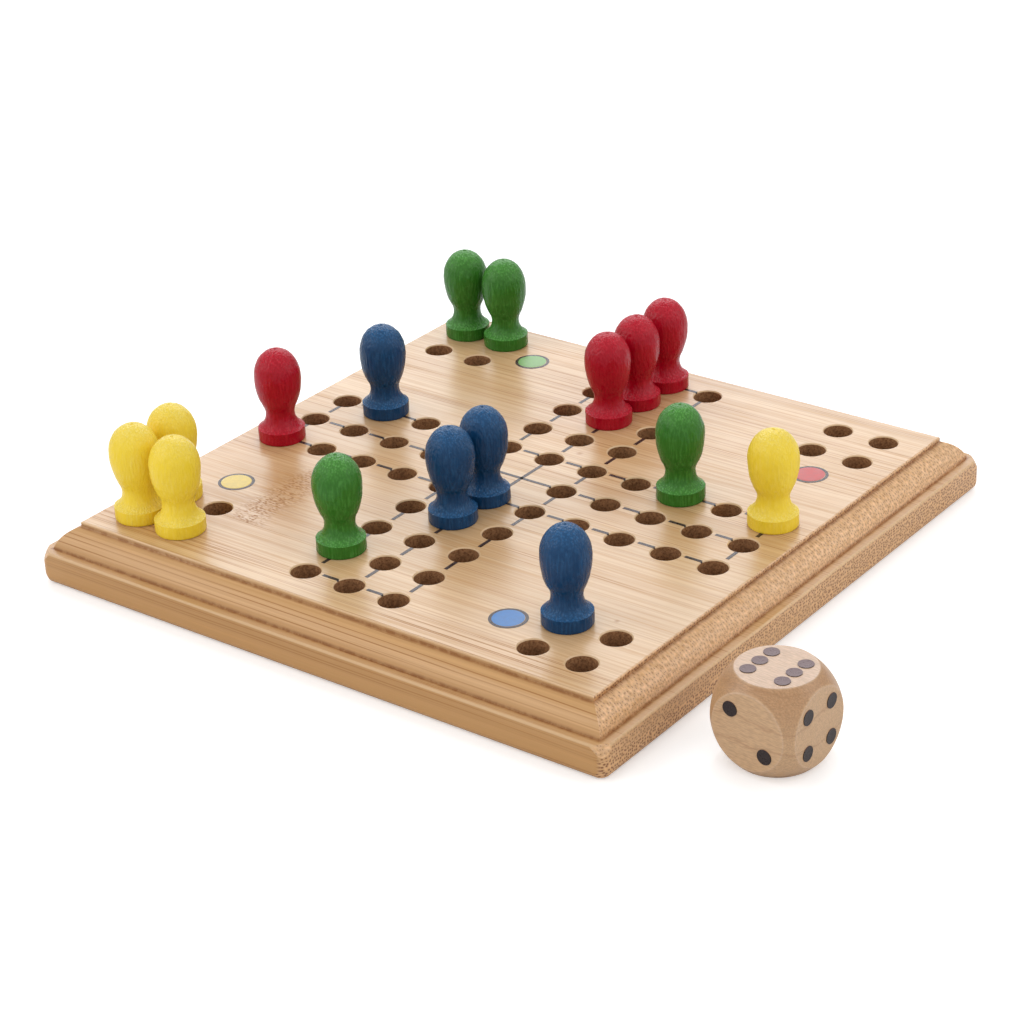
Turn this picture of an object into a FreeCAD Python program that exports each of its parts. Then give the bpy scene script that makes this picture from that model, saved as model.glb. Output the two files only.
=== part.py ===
"""Small pegged ludo game: a bamboo board with a moulded edge, sixteen turned pawns and a wooden die.

Millimetres, +Z up. The origin is the centre of the board's underside, which is also the table top.
"""
import FreeCAD, Part
import math
import os

# Playing grid: peg holes on a square grid, centred on the board
hole_pitch = 9.4
holes_per_side = 11
hole_radius = 2.6
hole_depth = 7.0
hole_bevel = 0.2

# Board and its routed edge: step, ovolo and ledge, from the playing surface outwards
board_side = 120.0
board_thickness = 10.8
corner_radius = 2.0
corner_ball_radius = 5.23
corner_ball_inset = 4.2
plateau_side = 108.8
plateau_easing = 0.25
step_height = 0.9
ovolo_width = 3.7
ovolo_drop = 3.8
ovolo_radius = 5.6
ledge_round = 0.4
bottom_round = 1.5

# Pawn: turned in one piece with its peg, all heights measured from the collar's seat
pawn_height = 17.7
collar_radius = 4.2
collar_easing = 0.3
neck_radius = 2.55
neck_height = 5.2
neck_cove_radius = 3.2
head_start_angle = 28.0
head_widest_height = 12.4
peg_radius = 2.5
peg_length = 6.0
peg_chamfer = 0.6

# Extra paint on the turned surface of each colour's pawns, measured on the radius
paint_build = {"yellow": 0.25, "blue": 0.1, "green": 0.1, "red": 0.1}

# Die: a cube cut by a sphere, with a shallow flat-bottomed recess for each pip
die_side = 15.7
die_sphere_radius = 10.2
pip_radius = 1.3
pip_depth = 0.2
pip_offset = 3.15
die_centre_x = 77.3
die_centre_y = -38.6
die_turn = -2.9

# Where each colour's pawns stand, as (column, row) on the grid, counted along +X and +Y
pawn_cells = {
    "yellow": [(0, 0), (1, 0), (0, 1), (10, 6)],
    "blue": [(9, 1), (1, 6), (5, 3), (5, 4)],
    "green": [(0, 10), (1, 10), (4, 1), (8, 6)],
    "red": [(0, 4), (5, 8), (5, 9), (5, 10)],
}

middle_cell = holes_per_side // 2
board_half = board_side / 2
plateau_half = plateau_side / 2
ledge_height = board_thickness - step_height - ovolo_drop
z_axis = FreeCAD.Vector(0, 0, 1)


def vector(x, y, z):
    """A point or direction in the part's frame."""
    return FreeCAD.Vector(x, y, z)


def segment(start, end):
    """A straight edge between two points."""
    return Part.LineSegment(start, end).toShape()


def bulging_arc(start, end, radius, outward):
    """An arc of the given radius from start to end that bulges towards outward.

    Args:
        start, end: the arc's end points.
        radius: its radius, at least half the distance between them.
        outward: a direction square to the line between them.
    """
    chord_middle = (start + end) * 0.5
    half_chord = start.distanceToPoint(end) / 2
    bulge = radius - math.sqrt(radius ** 2 - half_chord ** 2)
    direction = FreeCAD.Vector(outward)
    direction.normalize()
    return Part.Arc(start, chord_middle + direction * bulge, end).toShape()


def quarter_round(start, end, centre):
    """A quarter circle from start to end about centre."""
    radius = start.distanceToPoint(centre)
    towards_middle = start + end - centre * 2
    towards_middle.normalize()
    return Part.Arc(start, centre + towards_middle * radius, end).toShape()


def ellipse_arc(centre, high_end, wide_end, start, end):
    """The part of an upright ellipse between two of its points, on the side of wide_end.

    Args:
        centre: the ellipse's centre.
        high_end: the end of its longer half axis.
        wide_end: the end of its shorter half axis.
        start, end: the arc's end points, on the ellipse.
    """
    ellipse = Part.Ellipse(high_end, wide_end, centre)
    full_turn = 2 * math.pi
    ends = sorted(ellipse.parameter(point) % full_turn for point in (start, end))
    middle = ellipse.value(sum(ends) / 2)
    if (middle - centre).dot(wide_end - centre) < 0:
        ends = [ends[1] - full_turn, ends[0]]
    return Part.ArcOfEllipse(ellipse, ends[0], ends[1]).toShape()


def grid_point(cell):
    """The point on the playing surface at a (column, row) of the grid."""
    column, row = cell
    return vector((column - middle_cell) * hole_pitch, (row - middle_cell) * hole_pitch, board_thickness)


def peg_hole_cells():
    """Drilled cells: a cross three holes wide, without its centre, and a yard of four in each corner."""
    last = holes_per_side - 1
    arm = range(middle_cell - 1, middle_cell + 2)
    yard = (0, 1, last - 1, last)
    cells = []
    for column in range(holes_per_side):
        for row in range(holes_per_side):
            in_cross = column in arm or row in arm
            in_yard = column in yard and row in yard
            at_centre = column == middle_cell and row == middle_cell
            if (in_cross or in_yard) and not at_centre:
                cells.append((column, row))
    return cells


def peg_hole(cell):
    """The cutter of one blind peg hole, with a small bevel round its mouth."""
    mouth = grid_point(cell)
    shaft = Part.makeCylinder(hole_radius, hole_depth, mouth - z_axis * hole_depth, z_axis)
    bevel_foot = mouth - z_axis * hole_bevel
    bevel = Part.makeCone(hole_radius, hole_radius + hole_bevel, hole_bevel, bevel_foot, z_axis)
    return shaft.fuse(bevel)


def edge_section():
    """The routed edge, in the XZ plane, from the middle of the top to the middle of the underside."""
    top = board_thickness
    step_foot = vector(plateau_half, 0, top - step_height)
    groove = vector(plateau_half + ovolo_width, 0, ledge_height)
    ovolo_outward = vector(ovolo_drop, 0, ovolo_width)
    ledge_lip = vector(board_half - ledge_round, 0, groove.z)
    side_top = vector(board_half, 0, groove.z - ledge_round)
    side_bottom = vector(board_half, 0, bottom_round)
    underside_rim = vector(board_half - bottom_round, 0, 0)
    plateau_rim = vector(plateau_half - plateau_easing, 0, top)
    step_head = vector(plateau_half, 0, top - plateau_easing)
    return [
        segment(vector(0, 0, top), plateau_rim),
        quarter_round(plateau_rim, step_head, vector(plateau_rim.x, 0, step_head.z)),
        segment(step_head, step_foot),
        bulging_arc(step_foot, groove, ovolo_radius, ovolo_outward),
        segment(groove, ledge_lip),
        quarter_round(ledge_lip, side_top, vector(ledge_lip.x, 0, side_top.z)),
        segment(side_top, side_bottom),
        quarter_round(side_bottom, underside_rim, vector(underside_rim.x, 0, side_bottom.z)),
        segment(underside_rim, vector(0, 0, 0)),
    ]


def half_section_face():
    """The board's cross section from its middle out to the routed edge, as a face in the XZ plane."""
    middle_line = segment(vector(0, 0, 0), vector(0, 0, board_thickness))
    return Part.Face(Part.Wire(edge_section() + [middle_line]))


def moulded_bar(half_face):
    """A bar along Y, as long as the board, with the routed edge on both of its long sides."""
    half_bar = half_face.extrude(vector(0, board_side, 0))
    half_bar.translate(vector(0, -board_half, 0))
    other_half = half_bar.mirror(vector(0, 0, 0), vector(1, 0, 0))
    return half_bar.fuse(other_half)


def rounded_corner(half_face):
    """The ledge's outer end turned through a quarter circle, standing in the +X +Y corner."""
    axis_distance = board_half - corner_radius
    window = Part.makeBox(corner_radius, board_side, ledge_height, vector(axis_distance, -board_half, 0))
    outer_face = half_face.common(window)
    corner = outer_face.revolve(vector(axis_distance, 0, 0), z_axis, 90)
    corner.translate(vector(0, axis_distance, 0))
    return corner


def corner_waste():
    """What is sanded off the ledge's +X +Y corner: all that stands out of a ball in the corner."""
    inner = board_half - corner_ball_inset
    zone = Part.makeBox(corner_ball_inset, corner_ball_inset, ledge_height, vector(inner, inner, 0))
    ball = Part.makeSphere(corner_ball_radius, vector(inner, inner, ledge_height / 2))
    return zone.cut(ball)


def make_board():
    """The slab: two crossed moulded bars give the mitred edge, then the ledge's corners and the peg holes."""
    half_face = half_section_face()
    bar = moulded_bar(half_face)
    crossed_bar = bar.copy()
    crossed_bar.rotate(vector(0, 0, 0), z_axis, 90)
    slab = bar.common(crossed_bar)

    axis_distance = board_half - corner_radius
    column_foot = vector(axis_distance, axis_distance, 0)
    column = Part.makeBox(corner_radius, corner_radius, ledge_height, column_foot)
    corner = rounded_corner(half_face)
    waste = corner_waste()
    columns = []
    corners = []
    wastes = []
    for quarter in range(4):
        for shape, turned in ((column, columns), (corner, corners), (waste, wastes)):
            copy = shape.copy()
            copy.rotate(vector(0, 0, 0), z_axis, 90 * quarter)
            turned.append(copy)
    slab = slab.cut(columns).fuse(corners).removeSplitter().cut(wastes)

    holes = [peg_hole(cell) for cell in peg_hole_cells()]
    return slab.cut(holes)


def make_pawn(extra_paint):
    """A pawn about the Z axis with its collar's seat at height 0 and its peg below.

    The cove above the collar is one arc that runs on, tangent, into the head. The head is a long
    elliptical flank up to its widest height and a blunter elliptical crown above it.

    Args:
        extra_paint: how much the paint adds to the radius of collar, neck and head.
    """
    painted_collar = collar_radius + extra_paint
    painted_neck = neck_radius + extra_paint
    cove_centre_x = painted_neck + neck_cove_radius
    cove_reach = cove_centre_x - painted_collar
    cove_foot_z = neck_height - math.sqrt(neck_cove_radius ** 2 - cove_reach ** 2)
    angle = math.radians(head_start_angle)
    head_start_x = cove_centre_x - neck_cove_radius * math.cos(angle)
    head_start_z = neck_height + neck_cove_radius * math.sin(angle)
    head_start = vector(head_start_x, 0, head_start_z)

    # The flank's ellipse leaves the cove at the cove's own slope and is upright at the widest height
    slope = math.tan(angle)
    flank_rise = head_widest_height - head_start.z
    head_radius = math.sqrt(head_start.x * (head_start.x + slope * flank_rise))
    flank_half_height = head_radius * math.sqrt(flank_rise / (slope * head_start.x))
    head_middle = vector(0, 0, head_widest_height)
    widest = head_middle + vector(head_radius, 0, 0)
    crown = vector(0, 0, pawn_height)
    flank = ellipse_arc(head_middle, head_middle + z_axis * flank_half_height, widest, head_start, widest)
    dome = ellipse_arc(head_middle, crown, widest, widest, crown)

    peg_end = vector(0, 0, -peg_length)
    peg_tip = vector(peg_radius - peg_chamfer, 0, -peg_length)
    peg_side = vector(peg_radius, 0, peg_chamfer - peg_length)
    peg_root = vector(peg_radius, 0, 0)
    seat_rim = vector(painted_collar - collar_easing, 0, 0)
    collar_foot = vector(painted_collar, 0, collar_easing)
    collar_top = vector(painted_collar, 0, cove_foot_z)
    neck = vector(painted_neck, 0, neck_height)
    outline = [
        segment(peg_end, peg_tip),
        segment(peg_tip, peg_side),
        segment(peg_side, peg_root),
        segment(peg_root, seat_rim),
        quarter_round(seat_rim, collar_foot, vector(seat_rim.x, 0, collar_foot.z)),
        segment(collar_foot, collar_top),
        Part.Arc(collar_top, neck, head_start).toShape(),
        flank,
        dome,
        segment(crown, peg_end),
    ]
    face = Part.Face(Part.Wire(Part.__sortEdges__(outline)))
    return face.revolve(vector(0, 0, 0), z_axis, 360)


def pip_places(value):
    """Where the pips of a face are, as steps of -1, 0 or 1 across the face and up it."""
    places = []
    if value % 2 == 1:
        places += [(0, 0)]
    if value >= 2:
        places += [(-1, 1), (1, -1)]
    if value >= 4:
        places += [(-1, -1), (1, 1)]
    if value == 6:
        places += [(-1, 0), (1, 0)]
    return places


def pip_recesses(value, outward, across):
    """The cylinders that leave the flat-bottomed pip recesses of one face.

    Args:
        value: how many pips the face has.
        outward: the face's outward direction.
        across: the direction in the face that counts as across it.
    """
    up = outward.cross(across)
    floor_centre = outward * (die_side / 2 - pip_depth)
    cutters = []
    for step_across, step_up in pip_places(value):
        in_face = across * (step_across * pip_offset) + up * (step_up * pip_offset)
        cutters.append(Part.makeCylinder(pip_radius, 2 * pip_depth, floor_centre + in_face, outward))
    return cutters


def make_die():
    """The die on the table beside the board, six up, with opposite faces adding up to seven."""
    x_axis = vector(1, 0, 0)
    y_axis = vector(0, 1, 0)
    face_values = [
        (6, z_axis, x_axis),
        (1, -z_axis, x_axis),
        (2, -y_axis, x_axis),
        (5, y_axis, x_axis),
        (4, x_axis, y_axis),
        (3, -x_axis, y_axis),
    ]
    half = die_side / 2
    cube = Part.makeBox(die_side, die_side, die_side, vector(-half, -half, -half))
    die = cube.common(Part.makeSphere(die_sphere_radius))
    for value, outward, across in face_values:
        die = die.cut(pip_recesses(value, outward, across))
    die.rotate(vector(0, 0, 0), z_axis, die_turn)
    die.translate(vector(die_centre_x, die_centre_y, half))
    return die


def main():
    """Builds every piece and writes one file for each."""
    os.makedirs("parts", exist_ok=True)
    make_board().exportStep("parts/board.step")
    for colour, cells in pawn_cells.items():
        pawn = make_pawn(paint_build[colour])
        for number, cell in enumerate(cells, start=1):
            placed = pawn.copy()
            placed.translate(grid_point(cell))
            placed.exportStep(f"parts/{colour}_pawn_{number}.step")
    make_die().exportStep("parts/die.step")


main()
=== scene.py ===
"""Looks of a small pegged ludo game: bamboo board, printed track, turned pawns and a wooden die.

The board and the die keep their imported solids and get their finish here. The pawns are turned again, with
the wood grain that shows through their paint. The track, the start discs and the pips are thin films of
ink. Metres, +Z up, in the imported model's frame.
"""

import logging
import math
import random
from dataclasses import dataclass
from enum import Enum
from functools import cache, partial, reduce
from itertools import pairwise
from typing import Callable, Iterable, Sequence, Union

import bmesh
import bpy
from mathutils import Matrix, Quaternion, Vector


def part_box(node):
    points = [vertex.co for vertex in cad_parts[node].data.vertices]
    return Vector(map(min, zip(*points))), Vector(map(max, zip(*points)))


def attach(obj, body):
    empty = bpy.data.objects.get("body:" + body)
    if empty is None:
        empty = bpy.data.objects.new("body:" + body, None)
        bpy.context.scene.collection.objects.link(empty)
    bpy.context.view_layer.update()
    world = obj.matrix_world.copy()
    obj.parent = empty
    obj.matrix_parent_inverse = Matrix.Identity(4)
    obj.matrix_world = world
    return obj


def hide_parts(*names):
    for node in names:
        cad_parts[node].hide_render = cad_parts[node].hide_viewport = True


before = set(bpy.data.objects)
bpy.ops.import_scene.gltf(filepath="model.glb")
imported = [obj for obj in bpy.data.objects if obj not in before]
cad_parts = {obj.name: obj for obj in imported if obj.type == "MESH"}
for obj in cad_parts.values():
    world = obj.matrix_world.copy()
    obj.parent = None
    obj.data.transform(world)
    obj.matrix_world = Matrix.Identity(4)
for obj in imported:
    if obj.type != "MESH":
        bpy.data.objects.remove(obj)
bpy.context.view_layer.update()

MM = 0.001
UP = Vector((0.0, 0.0, 1.0))
SMOOTH_ANGLE = math.radians(35.0)
log = logging.getLogger("ludo")

Pair = tuple[float, float]
Triple = tuple[float, float, float]
Step = tuple[float, float, float, float]
Colour = Triple
Cell = tuple[int, int]
Piece = bpy.types.Object
Node = bpy.types.Node
Socket = bpy.types.NodeSocket
Sockets = dict[str, Socket]
Value = Union[float, Sequence[float], Socket]


@cache
def box_of(node: str) -> tuple[Vector, Vector]:
    """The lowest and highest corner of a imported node."""
    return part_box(node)


def centre_of(node: str) -> Vector:
    """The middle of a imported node's box."""
    low, high = box_of(node)
    return (low + high) / 2


# Hand modelling


class Bench:
    """Steps of hand modelling that the pieces share."""

    @staticmethod
    def clear() -> None:
        """Goes back to object mode with nothing selected."""
        if bpy.context.mode != "OBJECT":
            bpy.ops.object.mode_set(mode="OBJECT")
        bpy.ops.object.select_all(action="DESELECT")

    @staticmethod
    def take(*pieces: Piece) -> None:
        """Selects pieces alone and makes the first one active.

        Args:
            pieces: what to select.
        """
        Bench.clear()
        for piece in pieces:
            piece.select_set(True)
        bpy.context.view_layer.objects.active = pieces[0]

    @staticmethod
    def edit() -> Piece:
        """Opens the active piece in edit mode, all selected.

        Returns:
            The piece.
        """
        bpy.ops.object.mode_set(mode="EDIT")
        bpy.ops.mesh.select_mode(type="VERT")
        bpy.ops.mesh.select_all(action="SELECT")
        return bpy.context.object

    @staticmethod
    def select_points(test: Callable[[Vector], bool]) -> None:
        """Selects the points of the open mesh that pass a test, with the edges and faces between them.

        Args:
            test: takes a point's place and says whether it is wanted.
        """
        bpy.ops.mesh.select_all(action="DESELECT")
        mesh = bpy.context.object.data
        points = bmesh.from_edit_mesh(mesh)
        for point in points.verts:
            point.select = test(point.co)
        points.select_flush_mode()
        bmesh.update_edit_mesh(mesh)

    @staticmethod
    def finish(name: str) -> Piece:
        """Closes edit mode, names the active piece and puts its place into its mesh.

        Args:
            name: the piece's name.

        Returns:
            The piece, at the origin, unturned and unscaled.
        """
        bpy.ops.object.mode_set(mode="OBJECT")
        piece = bpy.context.object
        piece.name = name
        piece.data.name = name
        bpy.ops.object.transform_apply(location=True, rotation=True, scale=True)
        return piece

    @staticmethod
    def modify(piece: Piece, kind: str, **settings: object) -> None:
        """Adds a modifier to a piece and applies it.

        Args:
            piece: what to modify.
            kind: the modifier's type.
            settings: its properties.
        """
        modifier = piece.modifiers.new(kind.lower(), kind)
        for name, value in settings.items():
            setattr(modifier, name, value)
        Bench.take(piece)
        bpy.ops.object.modifier_apply(modifier=modifier.name)

    @staticmethod
    def copy(piece: Piece, name: str, place: Vector, turn: Quaternion = Quaternion()) -> Piece:
        """Copies a piece with a mesh of its own and sets the copy down somewhere else.

        Args:
            piece: what to copy.
            name: the copy's name.
            place: where the copy's origin goes.
            turn: how the copy is turned.

        Returns:
            The copy, with its place and turn in its mesh.
        """
        Bench.take(piece)
        bpy.ops.object.duplicate(linked=False)
        made = bpy.context.object
        made.rotation_mode = "QUATERNION"
        made.location = place
        made.rotation_quaternion = turn
        return Bench.finish(name)

    @staticmethod
    def join(name: str, pieces: Sequence[Piece]) -> Piece:
        """Joins pieces into one and names it.

        Args:
            name: the joined piece's name.
            pieces: what to join.

        Returns:
            The joined piece.
        """
        Bench.take(*pieces)
        bpy.ops.object.join()
        return Bench.finish(name)

    @staticmethod
    def scrap(*pieces: Piece) -> None:
        """Deletes helpers and blanks."""
        Bench.take(*pieces)
        bpy.ops.object.delete()


def dress(piece: Piece, material: bpy.types.Material) -> None:
    """Gives a piece one material all over."""
    piece.data.materials.clear()
    piece.data.materials.append(material)


# Shader nodes


def around(middle: float, offsets: Pair) -> Pair:
    """Two places, given by how far each one is past a third."""
    return middle + offsets[0], middle + offsets[1]


class ShaderGraph:
    """Short ways to add and join the nodes of one tree."""

    def __init__(self, tree: bpy.types.NodeTree) -> None:
        """Takes the tree that the nodes go into."""
        self.tree = tree

    def add(self, kind: str, *values: Value, **settings: object) -> Node:
        """Adds a node.

        Args:
            kind: the node's type.
            values: what its first inputs get, in order.
            settings: properties to set on it.

        Returns:
            The new node.
        """
        node = self.tree.nodes.new(kind)
        for name, value in settings.items():
            setattr(node, name, value)
        for socket, value in zip(node.inputs, values):
            self.feed(socket, value)
        return node

    def feed(self, socket: Socket, value: Value) -> None:
        """Joins an input to an output, or sets it to a constant.

        Args:
            socket: the input.
            value: an output, a number, or three numbers.
        """
        if isinstance(value, Socket):
            self.tree.links.new(value, socket)
        elif socket.type == "RGBA":
            socket.default_value = (*value, 1.0)
        else:
            socket.default_value = value

    def fill(self, node: Node, inputs: dict[str, Value]) -> Node:
        """Feeds a node's inputs by name.

        Args:
            node: the node.
            inputs: what its named inputs get.

        Returns:
            The node.
        """
        for name, value in inputs.items():
            self.feed(node.inputs[name], value)
        return node

    def math(self, operation: str, *values: Value) -> Socket:
        """The result of a Math node on the given values."""
        return self.add("ShaderNodeMath", *values, operation=operation).outputs[0]

    def product(self, *values: Value) -> Socket:
        """All the values multiplied."""
        return reduce(partial(self.math, "MULTIPLY"), values)

    def largest(self, *values: Value) -> Socket:
        """The largest of the values."""
        return reduce(partial(self.math, "MAXIMUM"), values)

    def furthest(self, *values: Value) -> Socket:
        """The largest of the values, without their signs."""
        return self.largest(*[self.math("ABSOLUTE", value) for value in values])

    def vector_math(self, operation: str, *values: Value) -> Socket:
        """The vector that a Vector Math node makes of the given values."""
        return self.add("ShaderNodeVectorMath", *values, operation=operation).outputs["Vector"]

    def length(self, vector: Value) -> Socket:
        """The length of a vector."""
        return self.add("ShaderNodeVectorMath", vector, operation="LENGTH").outputs["Value"]

    def from_point(self, across: Value, along: Value, point: Pair) -> Socket:
        """How far a place is from a point of the same plane."""
        return self.length(self.vector_math("SUBTRACT", self.combine(across, along, 0.0), (*point, 0.0)))

    def scale(self, vector: Value, factor: Value) -> Socket:
        """A vector or a colour times a number."""
        node = self.add("ShaderNodeVectorMath", vector, operation="SCALE")
        return self.fill(node, {"Scale": factor}).outputs["Vector"]

    def split(self, vector: Value) -> tuple[Socket, Socket, Socket]:
        """The three parts of a vector."""
        return tuple(self.add("ShaderNodeSeparateXYZ", vector).outputs)

    def combine(self, x: Value, y: Value, z: Value) -> Socket:
        """A vector of three parts."""
        return self.add("ShaderNodeCombineXYZ", x, y, z).outputs[0]

    def smooth(self, value: Value, low: Value, high: Value, start: Value = 0.0, end: Value = 1.0) -> Socket:
        """A soft step of a value.

        Args:
            value: what to map.
            low, high: where the step starts and ends; low may be the larger one.
            start, end: the results at low and at high.

        Returns:
            The mapped value.
        """
        given = (value, low, high, start, end)
        return self.add("ShaderNodeMapRange", *given, interpolation_type="SMOOTHSTEP").outputs[0]

    def vary(self, value: Value, limits: Pair) -> Socket:
        """A value from 0 to 1 spread softly between two limits."""
        return self.smooth(value, 0.0, 1.0, *limits)

    def mix(self, share: Value, first: Value, second: Value, blend: str = "MIX") -> Socket:
        """Two colours mixed.

        Args:
            share: how much of the second colour.
            first, second: the colours.
            blend: the way of mixing.

        Returns:
            The mixed colour.
        """
        node = self.add("ShaderNodeMix", share, data_type="RGBA", blend_type=blend)
        colours = [socket for socket in node.inputs if socket.type == "RGBA"]
        self.feed(colours[0], first)
        self.feed(colours[1], second)
        return next(socket for socket in node.outputs if socket.type == "RGBA")

    def noise(self, place: Value, detail: float = 2.0, roughness: float = 0.5) -> Socket:
        """Soft noise with features about one unit in size."""
        inputs = {"Vector": place, "Scale": 1.0, "Detail": detail, "Roughness": roughness}
        return self.fill(self.add("ShaderNodeTexNoise"), inputs).outputs["Fac"]

    def drift(self, place: Value) -> Socket:
        """A vector that wanders slowly about zero."""
        node = self.fill(self.add("ShaderNodeTexNoise"), {"Vector": place, "Scale": 1.0})
        return self.vector_math("SUBTRACT", node.outputs["Color"], (0.5, 0.5, 0.5))

    def cells(self, place: Value, dimensions: str = "3D", scatter: float = 1.0) -> Socket:
        """The distance to the nearest of many scattered points, about one unit apart."""
        node = self.add("ShaderNodeTexVoronoi", voronoi_dimensions=dimensions)
        return self.fill(node, {"Vector": place, "Scale": 1.0, "Randomness": scatter}).outputs["Distance"]

    def facing(self) -> tuple[Socket, Socket, Socket]:
        """The direction that the surface faces, in three parts."""
        return self.split(self.add("ShaderNodeNewGeometry").outputs["Normal"])

    def millimetres(self) -> Socket:
        """The piece's own coordinates, in millimetres."""
        return self.scale(self.add("ShaderNodeTexCoord").outputs["Object"], 1 / MM)

    def bump(self, height: Value, depth: float) -> Sockets:
        """A shader's roughened surface.

        Args:
            height: the relief, from 0 to 1.
            depth: how deep the relief is.

        Returns:
            The bent normal for each of the shader's inputs that takes one.
        """
        node = self.fill(self.add("ShaderNodeBump"), {"Height": height, "Distance": depth})
        return dict.fromkeys(("Normal", "Coat Normal"), node.outputs["Normal"])


class SharedEffect(Enum):
    """Shader node groups that more than one finish places, each built on first use."""

    WOOD_FIBRES = "wood_fibres"
    SOFT_MOTTLE = "soft_mottle"

    def place(self, graph: ShaderGraph, **inputs: Value) -> Sockets:
        """Places the effect in a finish.

        Args:
            graph: the finish's nodes.
            inputs: values for the effect's named inputs.

        Returns:
            The effect's outputs.
        """
        tree = bpy.data.node_groups.get(self.value)
        if tree is None:
            build = build_wood_fibres if self is SharedEffect.WOOD_FIBRES else build_soft_mottle
            tree = build(self.value)
        node = graph.fill(graph.add("ShaderNodeGroup", node_tree=tree), inputs)
        return {socket.name: socket for socket in node.outputs}


def mottle(graph: ShaderGraph, place: Socket, size: float) -> Socket:
    """The shared cloudiness, with clouds of one size."""
    return SharedEffect.SOFT_MOTTLE.place(graph, Position=place, Size=size)["Mottle"]


def start_group(
    name: str, inputs: dict[str, str], outputs: Iterable[str]
) -> tuple[ShaderGraph, Sockets, Node]:
    """Starts a shader node group.

    Args:
        name: the group's name.
        inputs: the kind of each named input, Float or Vector.
        outputs: the names of its outputs, all numbers.

    Returns:
        The group's graph, the values that it is given, and the node that takes its results.
    """
    tree = bpy.data.node_groups.new(name, "ShaderNodeTree")
    for socket, kind in inputs.items():
        tree.interface.new_socket(socket, in_out="INPUT", socket_type="NodeSocket" + kind)
    for socket in outputs:
        tree.interface.new_socket(socket, in_out="OUTPUT", socket_type="NodeSocketFloat")
    graph = ShaderGraph(tree)
    given = graph.add("NodeGroupInput").outputs
    return graph, {name: given[name] for name in inputs}, graph.add("NodeGroupOutput")


def build_wood_fibres(name: str) -> bpy.types.NodeTree:
    """Wood whose fibre bundles run along X: dots where it is cut across, streaks where it is cut along.

    Args:
        name: the group's name.

    Returns:
        A group with the inputs Position, Spacing, Length, Wander and Fill, and the outputs Bundles, which
        marks the dark bundles, Web, the pale wood furthest from them, Fibres, the fine lines between
        them, and Bands, the broad change of tone.
    """
    core = 0.5
    scatter = 0.7
    web_edges = (0.4, 0.75)
    slow_across = 0.15
    widths = {"Fibres": 0.75, "Bands": 9.0}
    details = {"Fibres": 3.0, "Bands": 2.0}
    inputs = {"Position": "Vector", "Spacing": "Float", "Length": "Float", "Wander": "Float", "Fill": "Float"}
    graph, given, result = start_group(name, inputs, ("Bundles", "Web", *widths))
    x, y, z = graph.split(given["Position"])
    along = graph.math("DIVIDE", x, given["Length"])

    slow = graph.combine(along, graph.product(y, slow_across), graph.product(z, slow_across))
    drift = graph.scale(graph.drift(slow), given["Wander"])
    wandered = graph.vector_math("ADD", graph.combine(y, z, 0.0), drift)
    density = graph.math("DIVIDE", 1.0, given["Spacing"])
    nearest = graph.cells(graph.scale(wandered, density), "2D", scatter)
    results = {
        "Bundles": graph.smooth(nearest, given["Fill"], graph.product(given["Fill"], core)),
        "Web": graph.smooth(nearest, *web_edges),
    }
    for output, width in widths.items():
        share = graph.math("DIVIDE", 1.0, graph.product(given["Spacing"], width))
        place = graph.combine(along, graph.product(y, share), graph.product(z, share))
        results[output] = graph.noise(place, detail=details[output])
    graph.fill(result, results)
    return graph.tree


def build_soft_mottle(name: str) -> bpy.types.NodeTree:
    """An even, cloudy unevenness.

    Args:
        name: the group's name.

    Returns:
        A group with the inputs Position and Size and the output Mottle, from 0 to 1.
    """
    detail = 4.0
    roughness = 0.6
    cloud_edges = (0.25, 0.75)
    graph, given, result = start_group(name, {"Position": "Vector", "Size": "Float"}, ("Mottle",))
    place = graph.scale(given["Position"], graph.math("DIVIDE", 1.0, given["Size"]))
    clouds = graph.noise(place, detail, roughness)
    graph.fill(result, {"Mottle": graph.smooth(clouds, *cloud_edges)})
    return graph.tree


# The board's measures


@dataclass(frozen=True)
class PlayGrid:
    """The square grid of peg holes, centred on the board. Reaches are in pitches from its centre."""

    middle: int = 5
    hole_radius: float = 2.6 * MM
    hole_bevel: float = 0.2 * MM
    hole_depth: float = 7.0 * MM
    centre_reach: float = 0.5
    cross_reach: float = 1.5
    yard_start: float = 3.5
    grid_reach: float = 5.5

    @property
    def pitch(self) -> float:
        """The distance between neighbouring holes, as between two pawns that stand side by side."""
        return centre_of("yellow_pawn_2").x - centre_of("yellow_pawn_1").x

    @property
    def top(self) -> float:
        """The height of the playing surface."""
        return box_of("board")[1].z

    @property
    def mouth_radius(self) -> float:
        """The radius of a hole at the playing surface, bevel included."""
        return self.hole_radius + self.hole_bevel

    def point(self, column: float, row: float) -> Vector:
        """The point on the playing surface at a column and row."""
        return Vector(((column - self.middle) * self.pitch, (row - self.middle) * self.pitch, self.top))


# Finishes


@dataclass(frozen=True)
class Finish:
    """A surface finish that becomes one procedural material.

    Its lengths are in millimetres, apart from the relief, which is in metres. A Pair is where a soft step
    starts and ends, or the two results that it goes between, and a Step is both.
    """

    name: str

    def material(self) -> bpy.types.Material:
        """Makes the finish's material on first use.

        Returns:
            The material.
        """
        made = bpy.data.materials.get(self.name)
        if made is None:
            made = bpy.data.materials.new(self.name)
            made.use_nodes = True
            graph = ShaderGraph(made.node_tree)
            graph.fill(made.node_tree.nodes["Principled BSDF"], self.paint(graph))
        return made

    def paint(self, graph: ShaderGraph) -> dict[str, Value]:
        """Adds the finish's nodes.

        Args:
            graph: the material's nodes.

        Returns:
            What the named inputs of the material's shader get.
        """
        raise NotImplementedError


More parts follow.
